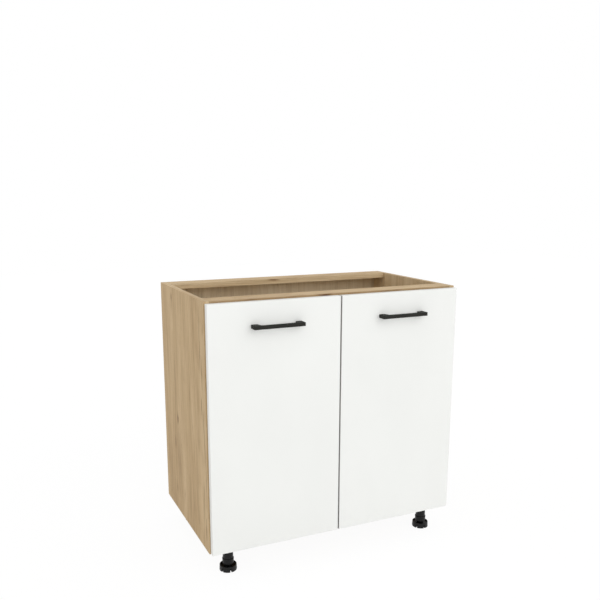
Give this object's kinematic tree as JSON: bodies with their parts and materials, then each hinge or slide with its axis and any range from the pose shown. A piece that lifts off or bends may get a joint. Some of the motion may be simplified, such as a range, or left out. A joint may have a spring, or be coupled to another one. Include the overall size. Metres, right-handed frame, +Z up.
{
  "type": "kitchen base cabinet",
  "caption": "Kitchen base cabinet with an oak-decor box, open top with flat rails, white slab doors, black bar handles, a shelf and levelling legs.",
  "frame": {"origin": "on the floor under the middle of the whole object", "axes": "+Z up, doors face -Y, +X to the right seen from the front"},
  "size_m": [0.8, 0.498, 0.7965],
  "materials": {
    "oak_laminate": "matt oak decor with vertical grain",
    "back_board": "matt oak decor fibreboard",
    "white_front": "white satin laminate",
    "black_metal": "matt black powder coat",
    "black_plastic": "moulded black plastic",
    "nickel_steel": "nickel plated pressed steel",
    "zinc_steel": "bright zinc plate",
    "beech": "bare fluted beech",
    "clear_bumper": "clear soft plastic"
  },
  "bodies": {
    "carcass": {"back_panel": "back_board", "back_panel_screws": "zinc_steel", "bottom_panel": "oak_laminate", "cam_bolts": "zinc_steel", "cam_locks": "zinc_steel", "front_left_leg_socket": "black_plastic", "front_left_leg_tube": "black_plastic", "front_right_leg_socket": "black_plastic", "front_right_leg_tube": "black_plastic", "front_top_rail": "oak_laminate", "hinge_arm_screws": "zinc_steel", "hinge_plate_screws": "zinc_steel", "left_lower_hinge_arm": "nickel_steel", "left_lower_hinge_plate": "nickel_steel", "left_side_panel": "oak_laminate", "left_upper_hinge_arm": "nickel_steel", "left_upper_hinge_plate": "nickel_steel", "leg_screws": "zinc_steel", "rear_left_leg_socket": "black_plastic", "rear_left_leg_tube": "black_plastic", "rear_right_leg_socket": "black_plastic", "rear_right_leg_tube": "black_plastic", "rear_top_rail": "oak_laminate", "right_lower_hinge_arm": "nickel_steel", "right_lower_hinge_plate": "nickel_steel", "right_side_panel": "oak_laminate", "right_upper_hinge_arm": "nickel_steel", "right_upper_hinge_plate": "nickel_steel", "shelf": "oak_laminate", "shelf_pins": "zinc_steel", "wood_dowels": "beech"},
    "left_door": {"left_door_panel": "white_front", "left_handle": "black_metal", "left_handle_screws": "zinc_steel", "left_door_bumpers": "clear_bumper", "left_cup_screws": "zinc_steel", "left_lower_hinge_cup": "nickel_steel", "left_lower_hinge_pin": "nickel_steel", "left_upper_hinge_cup": "nickel_steel", "left_upper_hinge_pin": "nickel_steel"},
    "right_door": {"right_door_panel": "white_front", "right_handle": "black_metal", "right_handle_screws": "zinc_steel", "right_door_bumpers": "clear_bumper", "right_cup_screws": "zinc_steel", "right_lower_hinge_cup": "nickel_steel", "right_lower_hinge_pin": "nickel_steel", "right_upper_hinge_cup": "nickel_steel", "right_upper_hinge_pin": "nickel_steel"},
    "front_left_foot": {"front_left_foot": "black_plastic"},
    "front_right_foot": {"front_right_foot": "black_plastic"},
    "rear_left_foot": {"rear_left_foot": "black_plastic"},
    "rear_right_foot": {"rear_right_foot": "black_plastic"}
  },
  "joints": [
    {"name": "left_door_hinge", "type": "hinge", "parent": "carcass", "child": "left_door", "pos_m": [-0.3905, -0.214, 0.4355], "axis": [0, 0, -1], "range_deg": [0, 95]},
    {"name": "right_door_hinge", "type": "hinge", "parent": "carcass", "child": "right_door", "pos_m": [0.3905, -0.214, 0.4355], "axis": [0, 0, 1], "range_deg": [0, 95]},
    {"name": "front_left_foot_screw", "type": "slide", "parent": "carcass", "child": "front_left_foot", "axis": [0, 0, -1], "range_m": [0, 0.02]},
    {"name": "front_right_foot_screw", "type": "slide", "parent": "carcass", "child": "front_right_foot", "axis": [0, 0, -1], "range_m": [0, 0.02]},
    {"name": "rear_left_foot_screw", "type": "slide", "parent": "carcass", "child": "rear_left_foot", "axis": [0, 0, -1], "range_m": [0, 0.02]},
    {"name": "rear_right_foot_screw", "type": "slide", "parent": "carcass", "child": "rear_right_foot", "axis": [0, 0, -1], "range_m": [0, 0.02]}
  ]
}
